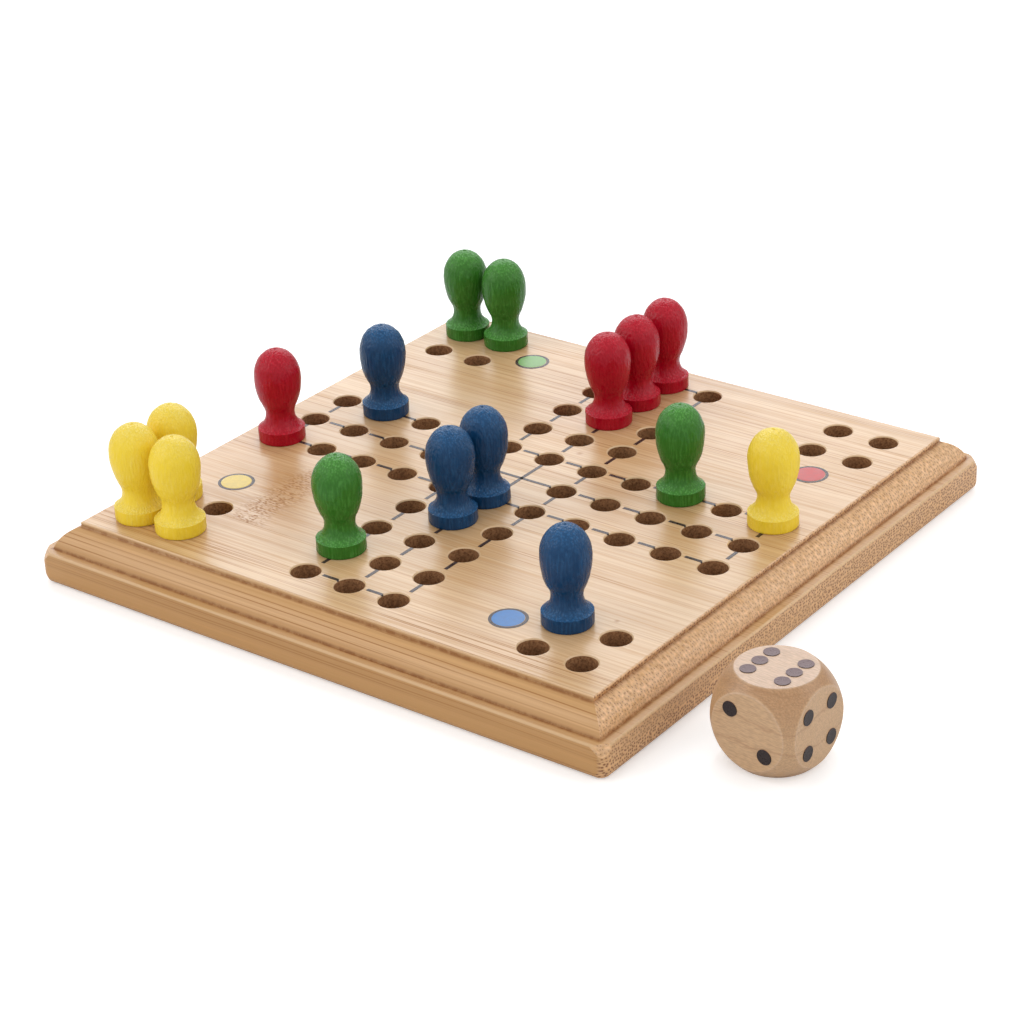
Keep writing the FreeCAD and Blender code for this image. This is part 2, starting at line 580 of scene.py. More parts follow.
@dataclass(frozen=True)
class BambooFinish(Finish):
    """Lacquered flat-pressed bamboo: wide strips along X in three layers, and a knuckle in one of them."""

    name: str = "lacquered_bamboo"
    grid: PlayGrid = PlayGrid()
    pale: Colour = (0.61, 0.40, 0.215)
    honey: Colour = (0.50, 0.27, 0.10)
    streak: Colour = (0.33, 0.145, 0.045)
    pore: Colour = (0.225, 0.092, 0.04)
    end_tone: Colour = (0.66, 0.40, 0.222)
    # Painted shade: multiplied into the upright faces.
    side_shade_tint: Colour = (0.86, 0.80, 0.68)
    # Painted shade, with some stain: multiplied in at the step's wall and the inner corners.
    corner_shade_and_stain_tint: Colour = (0.62, 0.48, 0.38)
    # Painted highlight: the light line on the ledge's edge and, with some wear, on the hole rims.
    rim: Colour = (0.64, 0.43, 0.235)
    wall: Colour = (0.31, 0.155, 0.072)
    wall_speck: Colour = (0.15, 0.065, 0.028)

    strip_width: float = 22.4
    layer_thickness: float = 3.8
    lowest_layer: float = -0.4
    lowest_seam: float = -66.8
    seam_step: float = 13.9
    grain_shift: float = 89.6
    strip_tones: Pair = (0.96, 1.04)

    upward_edges: Pair = (0.0, 0.8)
    side_shade_share: Step = (0.0, 0.6, 1.0, 0.0)
    end_grain_edges: Pair = (0.2, 0.6)
    end_share: float = 0.7
    bundle_spacing: float = 0.58
    bundle_length: float = 40.0
    bundle_wander: float = 0.4
    bundle_fill: Pair = (0.165, 0.235)
    bundle_growth: Step = (0.0, 0.5, 1.55, 1.0)
    pore_share: Step = (0.0, 0.5, 1.0, 0.65)
    web_gain: float = 0.22
    band_edges: Pair = (0.36, 0.66)
    band_share: float = 0.35
    streak_shares: Pair = (0.35, 0.8)
    upright_fibres: float = 0.75
    line_edges: Pair = (0.44, 0.66)
    line_share: float = 0.6
    pale_tone: Step = (0.3, 0.5, 1.08, 1.0)

    knuckle_x: float = -31.0
    knuckle_reach: float = 8.0
    knuckle_core: float = 0.25
    knuckle_strip: float = 0.0
    top_layer: float = 2.0
    number_slack: float = 0.5
    waver_scale: float = 0.25
    waver: float = 5.0
    flame_stretch: Triple = (0.35, 2.2, 0.0)
    flame_edges: Pair = (0.45, 0.65)
    speck_reach: float = 0.6
    speck_stretch: Triple = (1.0, 2.6, 0.0)
    speck_edges: Pair = (0.42, 0.22)
    patch_scale: float = 0.7
    patch_edges: Pair = (0.36, 0.5)
    speck_share: float = 0.95
    knots: tuple[Triple, ...] = ((3.3, 14.2, 0.9), (44.0, -33.0, 0.7))
    knot_share: float = 0.6

    plateau: float = 54.4
    plateau_edge: float = 0.2
    routed_share: float = 0.75
    step_height: float = 0.9
    step_wall: Pair = (-0.1, -0.02)
    step_foot: Pair = (0.6, 0.1)
    rim_drop: float = 0.15
    foot_fade: float = 0.2
    groove: Pair = (58.1, 6.1)
    groove_edges: Pair = (0.7, 0.1)
    blotch_scale: float = 0.8
    blotch_share: Step = (0.35, 0.6, 0.55, 1.0)
    arris_inset: float = 0.12
    arris_highlight_share: Step = (0.4, 0.1, 0.0, 0.6)

    bore_edges: Pair = (0.12, 0.04)
    bevel_edges: Pair = (0.05, -0.05)
    floor_edges: Pair = (-1.0, -0.5)
    worn_lit_edges: Pair = (0.3, 0.22)
    worn_lit_depth: Pair = (-0.05, 0.0)
    grit_size: float = 0.45
    grit_tones: Pair = (0.7, 1.3)
    wall_speck_scale: float = 1.9
    wall_speck_edges: Pair = (0.36, 0.16)
    wall_speck_share: float = 0.7

    line_openness: float = 0.45
    routed_openness: float = 0.4
    lacquer: Pair = (1.0, 0.1)
    lacquer_roughness: float = 0.27
    bare_sheen: float = 0.1
    bare_roughness: Pair = (0.5, 0.65)
    mottle_size: float = 4.0
    relief: float = 0.015 * MM

    def paint(self, graph: ShaderGraph) -> dict[str, Value]:
        """Adds strips, fibres, knuckle, end grain, hole walls, and painted light: shade on the sides, shade
        with some stain in the corners, and highlights on the ledge's edge and, with some wear, on the hole
        rims.

        Args:
            graph: the material's nodes.

        Returns:
            What the named inputs of the material's shader get.
        """
        place = graph.millimetres()
        x, y, z = graph.split(place)
        height = graph.math("SUBTRACT", z, self.lowest_layer)
        layer = graph.math("FLOOR", graph.math("DIVIDE", height, self.layer_thickness))
        first_seam = graph.math("MULTIPLY_ADD", layer, self.seam_step, self.lowest_seam)
        past_seam = graph.math("SUBTRACT", y, first_seam)
        strip = graph.math("FLOOR", graph.math("DIVIDE", past_seam, self.strip_width))
        dice = graph.add("ShaderNodeTexWhiteNoise", noise_dimensions="2D")
        graph.fill(dice, {"Vector": graph.combine(strip, layer, 0.0)})
        chance = dice.outputs["Value"]
        own_place = graph.vector_math("ADD", place, graph.scale(dice.outputs["Color"], self.grain_shift))

        facing = graph.facing()
        upward = graph.smooth(facing[2], *self.upward_edges)
        growth = graph.smooth(upward, *self.bundle_growth)
        fibres = SharedEffect.WOOD_FIBRES.place(
            graph,
            Position=own_place,
            Spacing=self.bundle_spacing,
            Length=self.bundle_length,
            Wander=self.bundle_wander,
            Fill=graph.product(graph.vary(chance, self.bundle_fill), growth),
        )
        bundles, fine = fibres["Bundles"], fibres["Fibres"]
        bands = graph.smooth(fibres["Bands"], *self.band_edges)
        end_grain = graph.smooth(graph.math("ABSOLUTE", facing[0]), *self.end_grain_edges)
        long_grain = graph.math("SUBTRACT", 1.0, end_grain)
        outwards = graph.furthest(x, y)
        routed = graph.smooth(outwards, self.plateau, self.plateau + self.plateau_edge)

        wood = graph.mix(graph.product(bands, self.band_share), self.pale, self.honey)
        wood = graph.mix(graph.product(routed, long_grain, self.routed_share), wood, self.honey)
        wood = graph.mix(graph.product(end_grain, self.end_share), wood, self.end_tone)
        # Painted shade: upright faces darker and browner than the top.
        wood = graph.mix(graph.smooth(upward, *self.side_shade_share), wood, self.side_shade_tint, "MULTIPLY")
        wood = graph.scale(wood, graph.vary(chance, self.strip_tones))
        flatness = graph.math("MULTIPLY_ADD", upward, 1 - self.upright_fibres, self.upright_fibres)
        lines = graph.product(graph.smooth(fine, *self.line_edges), flatness)
        wood = graph.mix(graph.product(lines, self.line_share), wood, self.honey)
        wood = graph.scale(wood, graph.smooth(fine, *self.pale_tone))
        streaks = graph.product(bundles, graph.vary(bands, self.streak_shares), long_grain, flatness)
        wood = graph.mix(streaks, wood, self.streak)
        web = graph.product(fibres["Web"], end_grain)
        wood = graph.scale(wood, graph.math("MULTIPLY_ADD", web, self.web_gain, 1.0))
        pore_share = graph.smooth(upward, *self.pore_share)
        wood = graph.mix(graph.product(bundles, end_grain, pore_share), wood, self.pore)

        on_strip = self.knuckle_strip_mask(graph, strip, layer)
        knuckle = graph.product(self.knuckle_band(graph, x, y, self.knuckle_reach), on_strip)
        flames = graph.noise(graph.vector_math("MULTIPLY", place, self.flame_stretch))
        flames = graph.smooth(flames, *self.flame_edges)
        wood = graph.mix(graph.product(knuckle, flames), wood, self.honey)
        specks = graph.product(self.speck_mask(graph, place), on_strip)
        for knot_x, knot_y, radius in self.knots:
            away = graph.from_point(x, y, (knot_x, knot_y))
            specks = graph.largest(specks, graph.smooth(away, radius, 0.0, 0.0, self.knot_share))
        wood = graph.mix(graph.product(specks, self.speck_share), wood, self.streak)
        # Painted shade, with some stain: the step's wall, its foot and the groove darkened, in blotches.
        blotches = graph.noise(graph.scale(place, self.blotch_scale))
        blotches = graph.smooth(blotches, *self.blotch_share)
        corner_shade_and_stain = graph.product(self.corner_shade_and_stain_mask(graph, outwards, z), blotches)
        wood = graph.mix(corner_shade_and_stain, wood, self.corner_shade_and_stain_tint, "MULTIPLY")
        # Painted highlight: a thin light line along the ledge's edge.
        ledge_edge = (box_of("board")[1].x / MM - self.arris_inset, self.groove[1] - self.arris_inset)
        from_edge = graph.from_point(outwards, z, ledge_edge)
        wood = graph.mix(graph.smooth(from_edge, *self.arris_highlight_share), wood, self.rim)

        rim, wall = self.hole_masks(graph, x, y, z)
        wall_specks = graph.cells(graph.scale(place, self.wall_speck_scale))
        wall_specks = graph.smooth(wall_specks, *self.wall_speck_edges)
        wall_wood = graph.scale(self.wall, graph.vary(mottle(graph, place, self.grit_size), self.grit_tones))
        wall_wood = graph.mix(graph.product(wall_specks, self.wall_speck_share), wall_wood, self.wall_speck)
        # Painted highlight, with some wear: lighter hole rims.
        wood = graph.mix(rim, wood, self.rim)
        open_lines = graph.product(lines, self.line_openness)
        open_edge = graph.product(routed, self.routed_openness)
        open_grain = graph.largest(open_lines, streaks, specks, open_edge, wall)
        return {
            "Base Color": graph.mix(wall, wood, wall_wood),
            "Coat Weight": graph.vary(open_grain, self.lacquer),
            "Coat Roughness": self.lacquer_roughness,
            "Specular IOR Level": self.bare_sheen,
            "Roughness": graph.vary(mottle(graph, place, self.mottle_size), self.bare_roughness),
            **graph.bump(fine, self.relief),
        }

    def corner_shade_and_stain_mask(self, graph: ShaderGraph, outwards: Socket, z: Socket) -> Socket:
        """Painted shade, with some stain: the step's wall and the inner corners of the routed edge, darkened.

        Args:
            graph: the material's nodes.
            outwards, z: the place, out from the board's middle and up.

        Returns:
            1 in the corners, 0 on the open surfaces.
        """
        top = self.grid.top / MM
        beyond = graph.smooth(outwards, *around(self.plateau, self.step_wall))
        by_step = graph.smooth(outwards, *around(self.plateau, self.step_foot))
        under_rim = graph.smooth(z, top - self.rim_drop, top - self.step_height + self.foot_fade)
        groove = graph.smooth(graph.from_point(outwards, z, self.groove), *self.groove_edges)
        return graph.largest(graph.product(beyond, by_step, under_rim), groove)

    def knuckle_strip_mask(self, graph: ShaderGraph, strip: Socket, layer: Socket) -> Socket:
        """Which strip has the knuckle: 1 in one strip of the top layer, 0 in the others."""
        in_layer = graph.math("COMPARE", layer, self.top_layer, self.number_slack)
        return graph.product(graph.math("COMPARE", strip, self.knuckle_strip, self.number_slack), in_layer)

    def knuckle_band(self, graph: ShaderGraph, x: Socket, y: Socket, reach: float) -> Socket:
        """A wavering band across the strips.

        Args:
            graph: the material's nodes.
            x, y: the place along and across the strips.
            reach: how far the band reaches to each side.

        Returns:
            1 in the middle of the band, 0 away from it.
        """
        wavering = graph.noise(graph.combine(graph.product(y, self.waver_scale), 0.0, 0.0))
        line = graph.math("MULTIPLY_ADD", wavering, self.waver, self.knuckle_x - self.waver / 2)
        off_line = graph.math("ABSOLUTE", graph.math("SUBTRACT", x, line))
        return graph.smooth(off_line, reach, reach * self.knuckle_core)

    def speck_mask(self, graph: ShaderGraph, place: Socket) -> Socket:
        """The dark specks of the knuckle, in patches along the middle of its band.

        Args:
            graph: the material's nodes.
            place: the place, in millimetres.

        Returns:
            1 on the specks, 0 between them.
        """
        x, y, _ = graph.split(place)
        scattered = graph.cells(graph.vector_math("MULTIPLY", place, self.speck_stretch), "2D")
        patches = graph.smooth(graph.noise(graph.scale(place, self.patch_scale)), *self.patch_edges)
        band = self.knuckle_band(graph, x, y, self.knuckle_reach * self.speck_reach)
        return graph.product(graph.smooth(scattered, *self.speck_edges), patches, band)

    def hole_masks(self, graph: ShaderGraph, x: Socket, y: Socket, z: Socket) -> tuple[Socket, Socket]:
        """Where the peg holes are: their rims, lightened as painted highlight with some wear, and their bored
        walls below the bevels.

        Args:
            graph: the material's nodes.
            x, y, z: the place, in millimetres.

        Returns:
            Two masks, 1 on the rims and 1 on the walls and floors.
        """
        half_pitch = self.grid.pitch / MM / 2
        offset_x = graph.math("WRAP", x, half_pitch, -half_pitch)
        offset_y = graph.math("WRAP", y, half_pitch, -half_pitch)
        from_axis = graph.from_point(offset_x, offset_y, (0.0, 0.0))
        radius = self.grid.hole_radius / MM
        bevel_foot = (self.grid.top - self.grid.hole_bevel) / MM
        hole_floor = (self.grid.top - self.grid.hole_depth) / MM
        drilled = self.drilled_mask(graph, x, y)
        near_axis = graph.smooth(from_axis, *around(radius, self.bore_edges))
        below_bevel = graph.smooth(z, *around(bevel_foot, self.bevel_edges))
        above_floor = graph.smooth(z, *around(hole_floor, self.floor_edges))
        worn_lit_rim = graph.smooth(from_axis, *around(radius, self.worn_lit_edges))
        on_top = graph.smooth(z, *around(bevel_foot, self.worn_lit_depth))
        wall = graph.product(near_axis, below_bevel, above_floor, drilled)
        return graph.product(worn_lit_rim, on_top, drilled), wall

    def drilled_mask(self, graph: ShaderGraph, x: Socket, y: Socket) -> Socket:
        """Which cells of the grid have a hole: the cross, without its centre, and the four yards.

        Args:
            graph: the material's nodes.
            x, y: the place, in millimetres.

        Returns:
            1 in the cells with a hole, 0 in the others.
        """
        pitch = self.grid.pitch / MM
        nearer = graph.math("MINIMUM", graph.math("ABSOLUTE", x), graph.math("ABSOLUTE", y))
        further = graph.furthest(x, y)
        in_cross = graph.math("LESS_THAN", nearer, self.grid.cross_reach * pitch)
        in_yard = graph.math("GREATER_THAN", nearer, self.grid.yard_start * pitch)
        off_centre = graph.math("GREATER_THAN", further, self.grid.centre_reach * pitch)
        on_grid = graph.math("LESS_THAN", further, self.grid.grid_reach * pitch)
        return graph.product(graph.largest(in_cross, in_yard), off_centre, on_grid)


@dataclass(frozen=True)
class PaintFinish(Finish):
    """Satin paint on a turned pawn, thin enough for the upright grain to show, with painted highlight dots on
    the crown.
    """

    colour: Colour = (0.5, 0.5, 0.5)
    # Where the paint is thin, and the painted highlight dots on the crown.
    thin_and_highlight: Colour = (0.6, 0.6, 0.6)
    grain_width: float = 0.45
    grain_length: float = 3.0
    grain_wander: float = 0.5
    grain_fill: float = 0.36
    mottle_size: float = 2.2
    thin_edges: Pair = (0.4, 0.7)
    thin_shares: Pair = (0.1, 0.35)
    crown_share: Step = (0.2, 0.9, 0.0, 0.75)
    speck_size: Triple = (0.34, 0.34, 0.8)
    speck_share: Step = (0.6, 0.2, 0.45, 1.2)
    pit_depth: float = 0.4
    raised: Step = (0.0, 0.9, 0.65, 1.5)
    relief: float = 0.08 * MM
    sheen: float = 0.22
    roughness: Pair = (0.2, 0.28)

    def paint(self, graph: ShaderGraph) -> dict[str, Value]:
        """Adds colour, sheen, grain and painted highlight dots on the crown.

        Args:
            graph: the material's nodes.

        Returns:
            What the named inputs of the material's shader get.
        """
        place = graph.millimetres()
        x, y, z = graph.split(place)
        fibres = SharedEffect.WOOD_FIBRES.place(
            graph,
            Position=graph.combine(z, x, y),
            Spacing=self.grain_width,
            Length=self.grain_length,
            Wander=self.grain_wander,
            Fill=self.grain_fill,
        )
        fine = fibres["Fibres"]
        clouds = mottle(graph, place, self.mottle_size)
        facing_up = graph.facing()[2]
        crown_facing_up = graph.smooth(facing_up, *self.crown_share)
        thinness = graph.product(graph.smooth(fine, *self.thin_edges), graph.vary(clouds, self.thin_shares))
        grains = graph.cells(graph.vector_math("DIVIDE", place, self.speck_size))
        # Painted highlight: light dots on the upward-facing crown.
        crown_highlight_dots = graph.product(crown_facing_up, graph.smooth(grains, *self.speck_share))
        pits = graph.product(fibres["Bundles"], graph.product(crown_facing_up, self.pit_depth))
        raised = graph.product(grains, graph.smooth(facing_up, *self.raised))
        height = graph.math("SUBTRACT", graph.math("SUBTRACT", fine, pits), raised)
        return {
            "Base Color": graph.mix(graph.largest(thinness, crown_highlight_dots), self.colour, self.thin_and_highlight),
            "Specular IOR Level": self.sheen,
            "Roughness": graph.vary(clouds, self.roughness),
            **graph.bump(height, self.relief),
        }


@dataclass(frozen=True)
class InkFinish(Finish):
    """Glossy ink or paint, a little uneven over the grain and lighter where it faces up: partly thin ink over
    the wood, partly painted reflection.
    """

    colour: Colour = (0.02, 0.01, 0.01)
    thinned_and_lit: Colour = (0.05, 0.029, 0.024)
    thinned_and_lit_edges: Pair = (0.6, 0.9)
    grain_spacing: float = 0.5
    grain_length: float = 20.0
    grain_wander: float = 0.6
    grain_fill: float = 0.4
    mottle_size: float = 0.8
    tones: Pair = (0.92, 1.05)
    gloss: float = 0.28
    gloss_spread: Pair = (-0.03, 0.05)
    ior: float = 1.4
    relief: float = 0.006 * MM

    def paint(self, graph: ShaderGraph) -> dict[str, Value]:
        """Adds colour and gloss.

        Args:
            graph: the material's nodes.

        Returns:
            What the named inputs of the material's shader get.
        """
        place = graph.millimetres()
        fibres = SharedEffect.WOOD_FIBRES.place(
            graph,
            Position=place,
            Spacing=self.grain_spacing,
            Length=self.grain_length,
            Wander=self.grain_wander,
            Fill=self.grain_fill,
        )
        clouds = mottle(graph, place, self.mottle_size)
        # Painted reflection, partly thin ink: lighter where it faces up.
        colour = graph.mix(graph.smooth(graph.facing()[2], *self.thinned_and_lit_edges), self.colour, self.thinned_and_lit)
        return {
            "Base Color": graph.scale(colour, graph.vary(clouds, self.tones)),
            "Roughness": graph.vary(clouds, around(self.gloss, self.gloss_spread)),
            "IOR": self.ior,
            **graph.bump(fibres["Fibres"], self.relief),
        }


@dataclass(frozen=True)
class DieWoodFinish(Finish):
    """Pale close-grained wood under satin lacquer, browner on the corners that the sphere cuts off, with
    painted highlight on the top and bottom faces and the ridges round them.
    """

    name: str = "pale_die_wood"
    # Painted highlight: the tone of the top and bottom faces and of the ridges; the sides are tan.
    pale: Colour = (0.58, 0.40, 0.28)
    tan: Colour = (0.51, 0.32, 0.175)
    cut: Colour = (0.38, 0.195, 0.085)
    line: Colour = (0.33, 0.17, 0.08)
    side: float = 15.7
    ball_radius: float = 10.2
    turn: float = math.radians(-2.9)
    grain_spacing: float = 0.3
    grain_length: float = 1.2
    grain_wander: float = 0.3
    grain_fill: float = 0.36
    bundle_share: float = 0.22
    fibre_tone: Step = (0.3, 0.7, 0.88, 1.12)
    mottle_size: float = 3.0
    lit_face_shares: Pair = (0.6, 1.0)
    ring_stretch: Triple = (0.12, 0.12, 0.3)
    ring_waver: float = 5.0
    ring_spacing: float = 2.4
    ring_width: float = 0.35
    ring_share: float = 0.4
    fray_scale: float = 2.5
    fray: float = 0.3
    cut_edges: Pair = (0.12, -0.12)
    cut_share: Step = (-2.0, 6.5, 0.1, 0.72)
    fuzz_scale: float = 5.0
    fuzz_detail: float = 3.0
    fuzz_share: Step = (0.38, 0.62, 0.75, 1.1)
    ridge_edges: Pair = (0.16, 0.04)
    ridge_reach: Pair = (-0.12, -0.04)
    ridge_highlight_share: float = 0.3
    face_edges: Pair = (-0.1, -0.02)
    roughness: Pair = (0.32, 0.42)
    relief: float = 0.012 * MM

    def paint(self, graph: ShaderGraph) -> dict[str, Value]:
        """Adds growth lines, specks, the browner cut corners and painted highlights on the top and bottom
        faces and their ridges.

        Args:
            graph: the material's nodes.

        Returns:
            What the named inputs of the material's shader get.
        """
        centring = graph.add("ShaderNodeMapping", vector_type="TEXTURE")
        turn = (0.0, 0.0, self.turn)
        centre = centre_of("die") / MM
        graph.fill(centring, {"Vector": graph.millimetres(), "Location": centre, "Rotation": turn})
        place = centring.outputs[0]
        x, y, z = graph.split(place)
        fibres = SharedEffect.WOOD_FIBRES.place(
            graph,
            Position=place,
            Spacing=self.grain_spacing,
            Length=self.grain_length,
            Wander=self.grain_wander,
            Fill=self.grain_fill,
        )
        clouds = mottle(graph, place, self.mottle_size)
        slow = graph.noise(graph.vector_math("MULTIPLY", place, self.ring_stretch))
        ring_height = graph.math("MULTIPLY_ADD", slow, self.ring_waver, z)
        ring = graph.smooth(graph.math("PINGPONG", ring_height, self.ring_spacing), self.ring_width, 0.0)

        half = self.side / 2
        reach = graph.furthest(x, y, z)
        fraying = graph.noise(graph.scale(place, self.fray_scale))
        frayed = graph.math("MULTIPLY_ADD", fraying, self.fray, reach)
        # Browner on the corners that the sphere cuts off, the more so towards the top.
        cut = graph.smooth(frayed, *around(half, self.cut_edges))
        fuzz = graph.noise(graph.scale(place, self.fuzz_scale), self.fuzz_detail)
        fuzz = graph.smooth(fuzz, *self.fuzz_share)
        depth = graph.product(graph.smooth(z, *self.cut_share), fuzz)
        # Painted highlight: a thin pale line on the ridges where the faces meet the ball.
        on_ball = graph.math("ABSOLUTE", graph.math("SUBTRACT", graph.length(place), self.ball_radius))
        at_reach = graph.smooth(reach, *around(half, self.ridge_reach))
        ridge_highlight = graph.product(graph.smooth(on_ball, *self.ridge_edges), at_reach)
        # Painted highlight: the top and bottom faces paler than the sides.
        lit_top_and_bottom = graph.smooth(graph.math("ABSOLUTE", z), *around(half, self.face_edges))

        wood = graph.mix(graph.product(graph.vary(clouds, self.lit_face_shares), lit_top_and_bottom), self.tan, self.pale)
        wood = graph.mix(graph.product(ring, self.ring_share), wood, self.line)
        wood = graph.mix(graph.product(fibres["Bundles"], self.bundle_share), wood, self.line)
        wood = graph.mix(graph.product(cut, depth), wood, self.cut)
        wood = graph.mix(graph.product(ridge_highlight, self.ridge_highlight_share), wood, self.pale)
        tone = graph.smooth(fibres["Fibres"], *self.fibre_tone)
        return {
            "Base Color": graph.scale(wood, tone),
            "Roughness": graph.vary(clouds, self.roughness),
            **graph.bump(fibres["Fibres"], self.relief),
        }


@dataclass(frozen=True)
class PlayerLook:
    """One player's paint, its lighter tone for thin paint and painted crown highlights, ink and start disc,
    and what the paint adds to a radius.
    """

    paint: Colour
    thin_and_highlight_paint: Colour
    ink: Colour
    start_cell: Pair
    paint_build: float = 0.1 * MM


class PlayerColour(Enum):
    """The four players' colours, with their paint on the pawns and their ink on the board."""

    YELLOW = "yellow"
    BLUE = "blue"
    GREEN = "green"
    RED = "red"

    @property
    def look(self) -> PlayerLook:
        """How this player's things look."""
        return PLAYER_LOOKS[self]

    @property
    def paint(self) -> PaintFinish:
        """The paint of this colour's pawns."""
        colour, thin_and_highlight = self.look.paint, self.look.thin_and_highlight_paint
        return PaintFinish(name=f"{self.value}_pawn_paint", colour=colour, thin_and_highlight=thin_and_highlight)

    @property
    def ink(self) -> InkFinish:
        """The ink of this colour's start disc."""
        colour = self.look.ink
        return InkFinish(name=f"{self.value}_ink", colour=colour, thinned_and_lit=colour, gloss=0.32, ior=1.45)


PLAYER_LOOKS = {
    PlayerColour.YELLOW: PlayerLook(
        (0.82, 0.59, 0.035), (0.88, 0.70, 0.15), (0.73, 0.54, 0.11), (0.5, 2.0), 0.25 * MM
    ),
    PlayerColour.BLUE: PlayerLook(
        (0.004, 0.038, 0.108), (0.028, 0.125, 0.29), (0.045, 0.185, 0.475), (8.0, 0.5)
    ),
    PlayerColour.GREEN: PlayerLook(
        (0.028, 0.138, 0.012), (0.11, 0.36, 0.07), (0.19, 0.39, 0.11), (2.0, 9.5)
    ),
    PlayerColour.RED: PlayerLook(
        (0.345, 0.0, 0.011), (0.58, 0.02, 0.04), (0.49, 0.035, 0.03), (9.5, 8.0)
    ),
}
BLACK_INK = InkFinish(name="black_ink")
# Painted reflection: the pips on the top face lighter than those on the sides.
PIP_PAINT = InkFinish(name="pip_paint", thinned_and_lit=(0.13, 0.068, 0.068), ior=1.38)


# Sub-assemblies


@dataclass
class BambooBoard:
    """The board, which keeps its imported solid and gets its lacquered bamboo."""

    grid: PlayGrid
    node: str = "board"

    def build(self) -> Piece:
        """Dresses the board.

        Returns:
            The board.
        """
        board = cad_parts[self.node]
        dress(board, BambooFinish(grid=self.grid).material())
        return board


@dataclass
class Print:
    """What the printing has in common: a thin film of ink, set down a little off the holes."""

    grid: PlayGrid
    body: str = "board"
    thickness: float = 0.03 * MM
    soft_edge: float = 0.012 * MM
    shift_x: float = 0.40 * MM
    shift_y: float = 0.45 * MM
    turn: float = math.radians(0.3)

    def printed(self, point: Vector) -> Vector:
        """Where a point of the design lands on the board."""
        turned = Quaternion(UP, self.turn) @ Vector((point.x, point.y, 0.0))
        return Vector((turned.x + self.shift_x, turned.y + self.shift_y, point.z))

    def soften(self, piece: Piece) -> None:
        """Rounds the film's edges."""
        Bench.modify(piece, "BEVEL", width=self.soft_edge, segments=2, limit_method="ANGLE")


@dataclass
class PrintedTrack(Print):
    """The black lines that join the holes: the ring, the home columns and the square round the centre."""

    line_width: float = 0.7 * MM
    gap_along_x: float = 0.8 * MM
    gap_along_y: float = 1.05 * MM
    length_step: float = 0.001 * MM
    far_end: float = 0.9
    bevel_cover: float = 0.95

    def build(self) -> Piece:
        """Makes all the lines as one piece.

        Returns:
            The piece.
        """
        blanks: dict[int, Piece] = {}
        lines = []
        for number, (start, end) in enumerate(self.edges()):
            first = self.grid.point(*start)
            last = self.grid.point(*end)
            along = (last - first).normalized()
            gap = self.gap_along_x if along.x > along.y else self.gap_along_y
            middle = (first + last) / 2
            moved = self.printed(middle) - middle
            aside = moved - along * moved.dot(along)
            rim = math.sqrt(self.grid.mouth_radius ** 2 - aside.length ** 2)
            length = (last - first).length - self.grid.hole_radius - gap - rim
            steps = round(length / self.length_step)
            if steps not in blanks:
                blanks[steps] = self.line_blank(length)
            foot = first + aside + along * (self.grid.hole_radius + gap)
            turn = Vector((1.0, 0.0, 0.0)).rotation_difference(along)
            lines.append(Bench.copy(blanks[steps], f"line_{number}", foot, turn))
        Bench.scrap(*blanks.values())
        track = Bench.join("track_lines", lines)
        dress(track, BLACK_INK.material())
        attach(track, self.body)
        return track

    def edges(self) -> list[tuple[Cell, Cell]]:
        """Finds the pairs of holes that a line joins.

        Returns:
            The pairs, each from the lower column or row to the higher one.
        """
        middle = self.grid.middle
        last = 2 * middle
        near, far = middle - 1, middle + 1
        arm = [(step, step + 1) for step in range(last) if not near <= step < far]
        crossing = [(near, middle), (middle, far)]
        edges = []
        for low, high in arm + crossing:
            for side in (near, far):
                edges.append(((low, side), (high, side)))
                edges.append(((side, low), (side, high)))
        for low, high in arm:
            edges.append(((low, middle), (high, middle)))
            edges.append(((middle, low), (middle, high)))
        for low, high in crossing:
            for end in (0, last):
                edges.append(((end, low), (end, high)))
                edges.append(((low, end), (high, end)))
        edges.append(((near, middle), (far, middle)))
        edges.append(((middle, near), (middle, far)))
        return edges

    def line_blank(self, length: float) -> Piece:
        """One line along +X from the origin, whose far end runs down over the bevel of a hole.

        Args:
            length: from its blunt end to the mouth of the hole.

        Returns:
            The line, as a thin slab with softened edges.
        """
        Bench.clear()
        middle = (length / 2, 0.0, self.thickness / 2)
        size = (length, self.line_width, self.thickness)
        bpy.ops.mesh.primitive_cube_add(size=1.0, location=middle, scale=size)
        blank = Bench.finish("line_blank")
        Bench.edit()
        Bench.select_points(lambda point: point.x > length * self.far_end)
        drop = self.grid.hole_bevel * self.bevel_cover
        over_bevel = Vector((drop, 0.0, -drop))
        bpy.ops.mesh.extrude_region_move(TRANSFORM_OT_translate={"value": over_bevel})
        bpy.ops.mesh.select_all(action="SELECT")
        bpy.ops.mesh.normals_make_consistent(inside=False)
        Bench.finish("line_blank")
        self.soften(blank)
        return blank


